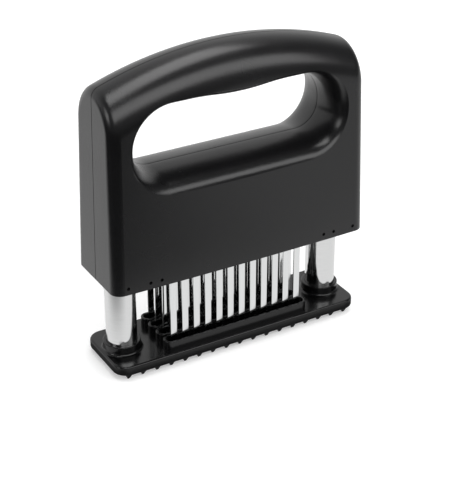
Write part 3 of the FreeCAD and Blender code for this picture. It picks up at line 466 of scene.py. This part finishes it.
def screwTree():
    tree, given = newTree("cross_recess_screw", {**footScrew, "Length": 0.0, "Foot": 0.0, "Place": 0.0})
    headRadius = addNode(tree, "ShaderNodeMath", {"operation": "MULTIPLY", 1: 0.5}, {0: given["Head"]})
    shankRadius = addNode(tree, "ShaderNodeMath", {"operation": "MULTIPLY", 1: 0.5}, {0: given["Shank"]})
    head = addNode(tree, "GeometryNodeMeshCone", None,
                   {"Vertices": given["Facets"], "Radius Bottom": headRadius.outputs[0],
                    "Radius Top": shankRadius.outputs[0], "Depth": given["Head Height"]})
    shankLength = addNode(tree, "ShaderNodeMath", {"operation": "SUBTRACT"},
                          {0: given["Length"], 1: given["Head Height"]})
    shank = addNode(tree, "GeometryNodeMeshCylinder", None,
                    {"Vertices": given["Facets"], "Radius": shankRadius.outputs[0],
                     "Depth": shankLength.outputs[0]})
    shankUp = addNode(tree, "ShaderNodeMath", {"operation": "MULTIPLY_ADD", 1: 0.5},
                      {0: shankLength.outputs[0], 2: given["Head Height"]})
    shankPlace = addNode(tree, "ShaderNodeCombineXYZ", None, {2: shankUp.outputs[0]})
    raised = addNode(tree, "GeometryNodeTransform", None,
                     {"Geometry": shank.outputs[0], "Translation": shankPlace.outputs[0]})
    # two crossed bars, centred on the head's face, are cut out of it
    deep = addNode(tree, "ShaderNodeMath", {"operation": "MULTIPLY", 1: 2.0}, {0: given["Recess Depth"]})
    recess = addNode(tree, "GeometryNodeMeshBoolean", {"operation": "UNION", "solver": "EXACT"})
    for long, short in (("Recess Length", "Recess Width"), ("Recess Width", "Recess Length")):
        size = addNode(tree, "ShaderNodeCombineXYZ", None,
                       {0: given[long], 1: given[short], 2: deep.outputs[0]})
        wing = addNode(tree, "GeometryNodeMeshCube", None, {"Size": size.outputs[0]})
        tree.links.new(wing.outputs[0], recess.inputs["Mesh 2"])
    recessed = addNode(tree, "GeometryNodeMeshBoolean", {"operation": "DIFFERENCE", "solver": "EXACT"},
                       {"Mesh 1": head.outputs[0], "Mesh 2": recess.outputs[0]})
    whole = addNode(tree, "GeometryNodeMeshBoolean", {"operation": "UNION", "solver": "EXACT"})
    for part in (recessed, raised):
        tree.links.new(part.outputs[0], whole.inputs["Mesh 2"])
    where = addNode(tree, "ShaderNodeCombineXYZ", None, {0: given["Place"], 2: given["Foot"]})
    point = addNode(tree, "GeometryNodeMeshLine", {"Count": 1}, {"Start Location": where.outputs[0]})
    screw = addNode(tree, "GeometryNodeInstanceOnPoints", None,
                    {"Points": point.outputs[0], "Instance": crispEdges(tree, whole.outputs[0])})
    endTree(tree, screw.outputs[0], zincSteel)
    return tree


def buildFootScrews():
    tree = screwTree()
    for side in ("left", "right"):
        node = f"{side}_post_screw"
        low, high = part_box(node)
        piece = build(f"{side}_foot_screw", tree, {**footScrew, "Length": high[2] - low[2], "Foot": low[2],
                                                   "Place": (low[0] + high[0]) / 2})
        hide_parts(node)
        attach(piece, "foot")


buildFootScrews()
print("screws done")


# Metres, degrees, and a lens in millimetres.
cameraView = {
    "place": (-0.254238, -0.445736, 0.322148),
    "azimuth": -29.942,
    "elevation": 28.980,
    "lens": 103.4,
}


def makeCamera():
    lens = bpy.data.cameras.new("camera")
    lens.lens = cameraView["lens"]
    camera = bpy.data.objects.new("camera", lens)
    camera.location = cameraView["place"]
    camera.rotation_euler = (math.radians(90 - cameraView["elevation"]), 0,
                             math.radians(cameraView["azimuth"]))
    bpy.context.scene.collection.objects.link(camera)
    bpy.context.scene.camera = camera


makeCamera()


# Two long softboxes, one overhead and one above the front, give the plastic its two bands of light. A
# small one on the left puts a thin light on the rounded edges. Metres, watts and degrees.
softboxes = {
    "top_softbox": {"place": (0.04, 0.01, 0.99), "size": (0.97, 0.40), "power": 4.9,
                    "tilt": -0.64, "turn": 26},
    "front_softbox": {"place": (0.15, -0.775, 0.775), "size": (1.6, 0.50), "power": 7.2,
                      "tilt": 48.53, "turn": 9},
    "side_softbox": {"place": (-0.86, -0.10, 0.38), "size": (0.34, 0.30), "power": 1.1,
                     "tilt": 71, "turn": -83},
}


def makeSoftbox(name, box):
    lamp = bpy.data.lights.new(name, "AREA")
    lamp.shape = "RECTANGLE"
    lamp.size, lamp.size_y = box["size"]
    lamp.energy = box["power"]
    holder = bpy.data.objects.new(name, lamp)
    holder.location = box["place"]
    holder.rotation_euler = (math.radians(box["tilt"]), 0, math.radians(box["turn"]))
    holder.visible_camera = False  # mirrors still show it
    bpy.context.scene.collection.objects.link(holder)


# The camera sees plain white, mirrors see a backdrop that is bright behind the tool and dark in front, and
# everything else gets an even fill.
backdrop = {
    "fill": 0.35,
    "front": 0.14,
    "behind": 0.90,
    "rise": (0.0, 0.7),
}


def makeWorld():
    world = bpy.data.worlds.new("studio")
    world.use_nodes = True
    tree = world.node_tree
    tree.nodes.clear()
    ray = addNode(tree, "ShaderNodeLightPath")
    fill = addNode(tree, "ShaderNodeBackground", {"Color": white, "Strength": backdrop["fill"]})
    plain = addNode(tree, "ShaderNodeBackground", {"Color": white, "Strength": 1.0})
    towards = addNode(tree, "ShaderNodeTexCoord").outputs["Generated"]
    split = addNode(tree, "ShaderNodeSeparateXYZ", None, {0: towards})
    behind = addNode(tree, "ShaderNodeMapRange",
                     {"interpolation_type": "SMOOTHSTEP",
                      "From Min": backdrop["rise"][0], "From Max": backdrop["rise"][1],
                      "To Min": backdrop["front"], "To Max": backdrop["behind"]},
                     {"Value": split.outputs[1]})
    mirrored = addNode(tree, "ShaderNodeBackground", {"Color": white}, {"Strength": behind.outputs[0]})
    glossy = addNode(tree, "ShaderNodeMixShader", None,
                     {0: ray.outputs["Is Glossy Ray"], 1: fill.outputs[0], 2: mirrored.outputs[0]})
    seen = addNode(tree, "ShaderNodeMixShader", None,
                   {0: ray.outputs["Is Camera Ray"], 1: glossy.outputs[0], 2: plain.outputs[0]})
    addNode(tree, "ShaderNodeOutputWorld", None, {"Surface": seen.outputs[0]})
    bpy.context.scene.world = world


# The floor is matt white paper that keeps the tool's shadow. A wash lifts it to white for the camera, and
# more so far out, where the lamps don't reach.
floorLook = {
    "size": 6.0,
    "level": -0.2 * millimetre,  # just under the teeth
    "paper": "#EDEDED",
    "poolTurn": (0.8, 0.6, 0.0),
    "footHalf": (56.5 * millimetre, 15.8 * millimetre, 0.0),
}
# Each ramp goes from one place to another, in metres, and from one strength to another. The wash is for the
# camera. Mirrors see a painted pool of light that ends to the front left, dims to the left far in front,
# and has painted shade round the foot.
floorRamps = {
    "wash": ((0.15, 0.80), (0.36, 1.0)),
    "pool": ((-0.145, -0.050), (0.03, 0.92)),
    "left": ((-0.06, 0.12), (0.18, 0.88)),
    "front": ((-0.105, -0.080), (0.0, 1.0)),
    # painted shade, seen only by mirrors, close round the foot's edge
    "foot": ((0.005, 0.010), (0.15, 1.0)),
}


def floorPaper():
    material, tree = newMaterial("white_paper_floor")
    ray = addNode(tree, "ShaderNodeLightPath")
    place = addNode(tree, "ShaderNodeTexCoord").outputs["Object"]
    split = addNode(tree, "ShaderNodeSeparateXYZ", None, {0: place})
    reach = addNode(tree, "ShaderNodeVectorMath", {"operation": "LENGTH"}, {0: place})
    slant = addNode(tree, "ShaderNodeVectorMath", {"operation": "DOT_PRODUCT", 1: floorLook["poolTurn"]},
                    {0: place})
    # how far a spot lies outside the foot's edge
    size = addNode(tree, "ShaderNodeVectorMath", {"operation": "ABSOLUTE"}, {0: place})
    past = addNode(tree, "ShaderNodeVectorMath", {"operation": "SUBTRACT", 1: floorLook["footHalf"]},
                   {0: size.outputs[0]})
    outside = addNode(tree, "ShaderNodeVectorMath", {"operation": "MAXIMUM", 1: (0, 0, 0)},
                      {0: past.outputs[0]})
    distance = addNode(tree, "ShaderNodeVectorMath", {"operation": "LENGTH"}, {0: outside.outputs[0]})
    measures = {"wash": reach.outputs["Value"], "pool": slant.outputs["Value"], "left": split.outputs[0],
                "front": split.outputs[1], "foot": distance.outputs["Value"]}
    strength = {}
    for label, measure in measures.items():
        edge, shades = floorRamps[label]
        ramp = addNode(tree, "ShaderNodeMapRange",
                       {"interpolation_type": "SMOOTHSTEP", "From Min": edge[0], "From Max": edge[1],
                        "To Min": shades[0], "To Max": shades[1]}, {"Value": measure})
        strength[label] = ramp.outputs[0]
    # the camera sees the paper and its wash
    paper = addNode(tree, "ShaderNodeBsdfDiffuse", {"Color": linear(floorLook["paper"])})
    wash = addNode(tree, "ShaderNodeEmission", {"Color": white}, {"Strength": strength["wash"]})
    washed = addNode(tree, "ShaderNodeAddShader", None, {0: paper.outputs[0], 1: wash.outputs[0]})
    seen = addNode(tree, "ShaderNodeMixShader", None,
                   {0: ray.outputs["Is Camera Ray"], 1: paper.outputs[0], 2: washed.outputs[0]})
    # mirrors see the painted pool of light, which dims to the left only where the front ramp is low
    dimmed = addNode(tree, "ShaderNodeMix", {"data_type": "FLOAT", 3: 1.0},
                     {0: strength["front"], 2: strength["left"]})
    paintedPool = addNode(tree, "ShaderNodeMath", {"operation": "MULTIPLY"},
                  {0: strength["pool"], 1: dimmed.outputs[0]})
    # painted shade round the foot, where little light reaches, darkens what mirrors see of the floor
    paintedPoolAndShade = addNode(tree, "ShaderNodeMath", {"operation": "MULTIPLY"},
                     {0: paintedPool.outputs[0], 1: strength["foot"]})
    # the floor glows for mirrors with this painted light and shade
    paintedGlow = addNode(tree, "ShaderNodeEmission", {"Color": white}, {"Strength": paintedPoolAndShade.outputs[0]})
    mirrored = addNode(tree, "ShaderNodeMixShader", None,
                       {0: ray.outputs["Is Glossy Ray"], 1: seen.outputs[0], 2: paintedGlow.outputs[0]})
    # from below the floor is clear, so that it hides nothing
    side = addNode(tree, "ShaderNodeNewGeometry")
    clear = addNode(tree, "ShaderNodeBsdfTransparent")
    oneSided = addNode(tree, "ShaderNodeMixShader", None,
                       {0: side.outputs["Backfacing"], 1: mirrored.outputs[0], 2: clear.outputs[0]})
    addNode(tree, "ShaderNodeOutputMaterial", None, {"Surface": oneSided.outputs[0]})
    return material


def makeFloor():
    half, level = floorLook["size"] / 2, floorLook["level"]
    corners = [(-half, -half, level), (half, -half, level), (half, half, level), (-half, half, level)]
    mesh = bpy.data.meshes.new("floor")
    mesh.from_pydata(corners, [], [(0, 1, 2, 3)])
    mesh.materials.append(floorPaper())
    sheet = bpy.data.objects.new("floor", mesh)
    bpy.context.scene.collection.objects.link(sheet)


for name, box in softboxes.items():
    makeSoftbox(name, box)
makeWorld()
makeFloor()
bpy.context.scene.view_settings.view_transform = "Standard"
print("studio done")
